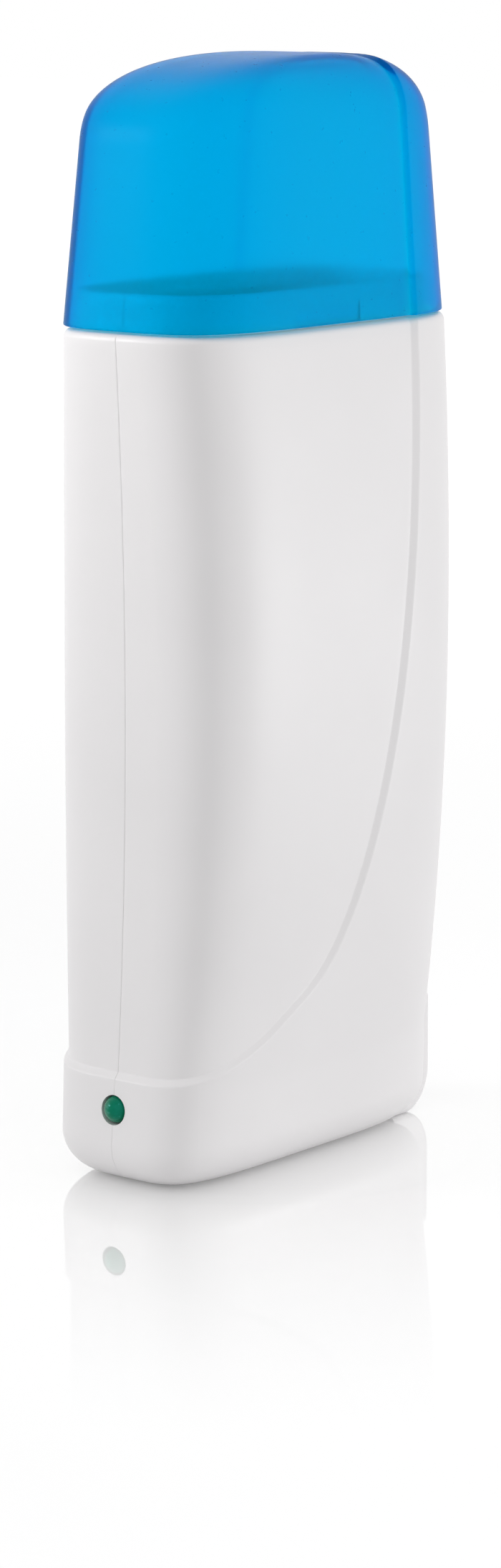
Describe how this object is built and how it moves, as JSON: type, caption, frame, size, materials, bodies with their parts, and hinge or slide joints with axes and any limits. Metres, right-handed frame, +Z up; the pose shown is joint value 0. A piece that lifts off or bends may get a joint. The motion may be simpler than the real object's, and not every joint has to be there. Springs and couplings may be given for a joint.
{
  "type": "roll-on wax heater",
  "caption": "Upright hand-held heater for a roll-on wax cartridge: oval clamshell case with a heated well, pilot lamp, two-pin mains inlet and a translucent lift-off cap.",
  "frame": {"origin": "middle of the footprint at the underside of the base, on the seam plane", "axes": "+Z up towards the cap, -Y towards the narrow front face with the pilot lamp, +Y towards the rear heel with the inlet, X across the thickness"},
  "size_m": [0.048, 0.0881, 0.2123],
  "materials": {
    "white_case": "satin moulded white",
    "blue_cap": "translucent blue, finely frosted",
    "white_deck": "matte moulded white",
    "sleeve_aluminium": "extruded, bare",
    "seat_rubber": "matte silicone rubber",
    "heater_ceramic": "fired ceramic",
    "contact_brass": "bare sheet",
    "amber_film": "clear amber film",
    "spring_steel": "rolled spring steel",
    "fuse_metal": "drawn can with tinned leads",
    "tube_glass_fibre": "varnished glass-fibre braid",
    "lamp_green": "glossy diffused green",
    "board_green": "solder-masked laminate",
    "resistor_beige": "coated, with plain colour bands",
    "diode_black": "moulded epoxy",
    "inlet_black": "matte moulded black",
    "pin_nickel": "nickel plated brass",
    "wire_brown": "insulated wire",
    "wire_blue": "insulated wire",
    "wire_white": "silicone insulated wire",
    "screw_steel": "zinc plated"
  },
  "bodies": {
    "body": {"shell_right": "white_case", "shell_left": "white_case", "well_deck": "white_deck", "heating_sleeve": "sleeve_aluminium", "cartridge_seat": "seat_rubber", "heater_stone_right": "heater_ceramic", "heater_stone_left": "heater_ceramic", "heater_contacts_right": "contact_brass", "heater_contacts_left": "contact_brass", "heater_film_right": "amber_film", "heater_film_left": "amber_film", "heater_spring_right": "spring_steel", "heater_spring_left": "spring_steel", "thermal_fuse": "fuse_metal", "fuse_tube": "tube_glass_fibre", "pilot_lamp": "lamp_green", "circuit_board": "board_green", "dropper_resistor": "resistor_beige", "rectifier_diode": "diode_black", "inlet_body": "inlet_black", "inlet_pins": "pin_nickel", "live_wire": "wire_brown", "fused_wire": "wire_brown", "neutral_wire": "wire_blue", "heater_wires_right": "wire_white", "heater_wires_left": "wire_white", "case_screws": "screw_steel"},
    "cap": {"cap": "blue_cap"}
  },
  "joints": [
    {"name": "cap_lift", "type": "slide", "parent": "body", "child": "cap", "axis": [0, 0, 1], "range_m": [0, 0.06]}
  ]
}
